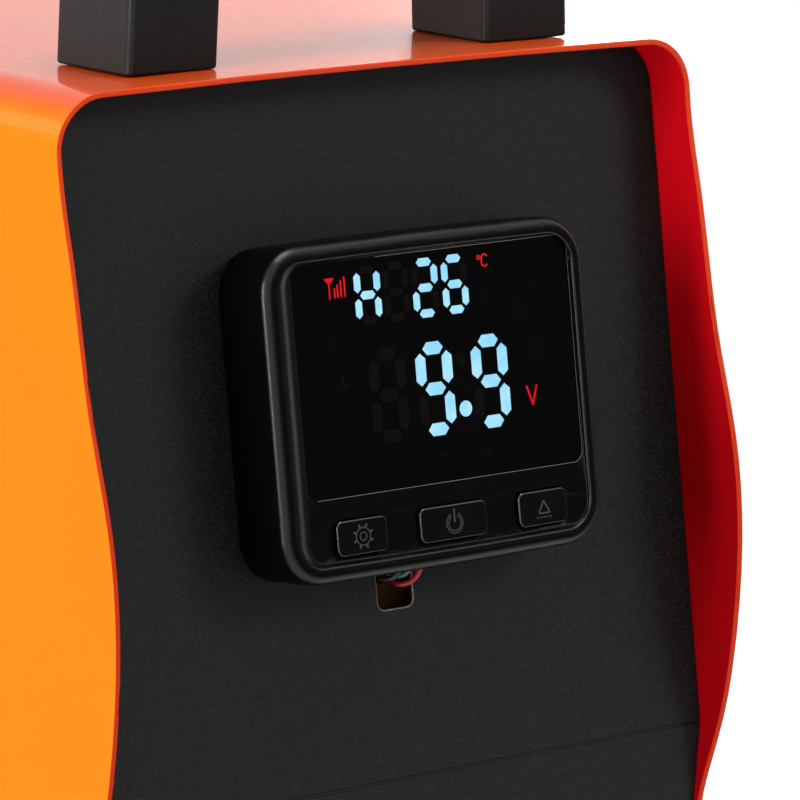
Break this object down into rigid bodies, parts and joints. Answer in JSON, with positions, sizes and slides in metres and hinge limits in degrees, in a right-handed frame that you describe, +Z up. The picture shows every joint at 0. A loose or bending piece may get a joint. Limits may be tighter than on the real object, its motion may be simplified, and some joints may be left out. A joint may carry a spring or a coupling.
{
  "type": "portable diesel air heater",
  "caption": "Portable diesel air heater: sheet-metal case with handles, digital controller on the front, warm-air outlet below, fuel tank and burner unit inside.",
  "frame": {"origin": "on the floor, under the middle of the whole object", "axes": "+X to the right seen from the front, +Y from the controller side to the rear, +Z up"},
  "size_m": [0.1998, 0.3969, 0.4449],
  "materials": {
    "orange_paint": "gloss powder coat",
    "black_paint": "fine textured powder coat",
    "zinc_sheet": "zinc plated",
    "foot_rubber": "matt",
    "screw_steel": "zinc plated",
    "black_screw": "black oxide",
    "handle_plastic": "satin moulded",
    "controller_plastic": "satin moulded",
    "display_glass": "polished black",
    "display_body": "moulded",
    "board_green": "solder mask",
    "silicone": "matt",
    "wire_red": "extruded",
    "wire_green": "extruded",
    "wire_black": "extruded",
    "plug_plastic": "moulded",
    "vent_plastic": "moulded",
    "unit_plastic": "moulded",
    "cast_aluminium": "as cast",
    "stainless": "drawn",
    "igniter": "turned",
    "motor_steel": "plated",
    "fan_plastic": "moulded",
    "fibre_gasket": "matt",
    "tank_plastic": "blow moulded",
    "cap_plastic": "moulded",
    "seal_rubber": "matt",
    "filter_plastic": "clear moulded",
    "hose_rubber": "extruded"
  },
  "bodies": {
    "root": {"casing": "orange_paint", "front_panel": "black_paint", "rear_panel": "black_paint", "base_tray": "black_paint", "tank_shelf": "zinc_sheet", "rubber_feet": "foot_rubber", "foot_screws": "screw_steel", "casing_screws": "black_screw", "panel_screws": "black_screw", "handle_front": "handle_plastic", "handle_rear": "handle_plastic", "handle_screws": "screw_steel", "controller_back": "controller_plastic", "controller_bezel": "controller_plastic", "display_glass": "display_glass", "display_module": "display_body", "controller_board": "board_green", "button_pad": "silicone", "controller_screws": "black_screw", "wire_red": "wire_red", "wire_green": "wire_green", "wire_black": "wire_black", "harness_plug": "plug_plastic", "harness_cable": "wire_black", "outlet_ring": "vent_plastic", "outlet_duct": "vent_plastic", "intake_grille": "vent_plastic", "power_inlet": "vent_plastic", "heater_lower_shell": "unit_plastic", "heater_upper_shell": "unit_plastic", "heat_exchanger": "cast_aluminium", "burner_tube": "stainless", "glow_plug": "igniter", "blower_housing": "cast_aluminium", "fan_motor": "motor_steel", "control_box": "unit_plastic", "overheat_sensor": "igniter", "mounting_gasket": "fibre_gasket", "mounting_studs": "screw_steel", "exhaust_stub": "stainless", "air_stub": "stainless", "fuel_tank": "tank_plastic", "tank_straps": "zinc_sheet", "neck_gasket": "seal_rubber", "fuel_pickup": "cast_aluminium", "fuel_filter": "filter_plastic", "fuel_pump": "motor_steel", "pump_holder": "foot_rubber", "fuel_hoses": "hose_rubber"},
    "louvre": {"louvre": "vent_plastic"},
    "fan_rotor": {"motor_shaft": "stainless", "hot_air_fan": "fan_plastic", "combustion_impeller": "cast_aluminium"},
    "settings_key": {"button_settings": "controller_plastic"},
    "power_key": {"button_power": "controller_plastic"},
    "up_key": {"button_up": "controller_plastic"},
    "plunger": {"pump_plunger": "stainless"},
    "seal": {"cap_seal": "seal_rubber"},
    "cap": {"filler_cap": "cap_plastic"}
  },
  "joints": [
    {"name": "louvre_turn", "type": "hinge", "parent": "root", "child": "louvre", "pos_m": [0, -0.17488, 0.104], "axis": [0, -0.9962, -0.0872], "continuous": true},
    {"name": "fan_spin", "type": "hinge", "parent": "root", "child": "fan_rotor", "pos_m": [0, 0.115, 0.104], "axis": [0, 1, 0], "continuous": true},
    {"name": "settings_press", "type": "slide", "parent": "root", "child": "settings_key", "axis": [0, 0.9888, -0.1495], "range_m": [0, 0.0008], "stiffness_N_per_m": 600, "springref_m": -0.0005},
    {"name": "power_press", "type": "slide", "parent": "root", "child": "power_key", "axis": [0, 0.9888, -0.1495], "range_m": [0, 0.0008], "stiffness_N_per_m": 600, "springref_m": -0.0005},
    {"name": "up_press", "type": "slide", "parent": "root", "child": "up_key", "axis": [0, 0.9888, -0.1495], "range_m": [0, 0.0008], "stiffness_N_per_m": 600, "springref_m": -0.0005},
    {"name": "plunger_stroke", "type": "slide", "parent": "root", "child": "plunger", "axis": [0, 0.9397, 0.342], "range_m": [0, 0.003], "stiffness_N_per_m": 400, "springref_m": -0.001},
    {"name": "cap_lift", "type": "slide", "parent": "root", "child": "seal", "axis": [0, 0, 1], "range_m": [0, 0.0046]},
    {"name": "cap_turn", "type": "hinge", "parent": "seal", "child": "cap", "pos_m": [0, 0.092, 0.396], "axis": [0, 0, 1], "range_deg": [0, 450]}
  ],
  "couplings": [
    {"joint": "cap_lift", "follows": "cap_turn", "m_per_rad": 0.00057296}
  ]
}
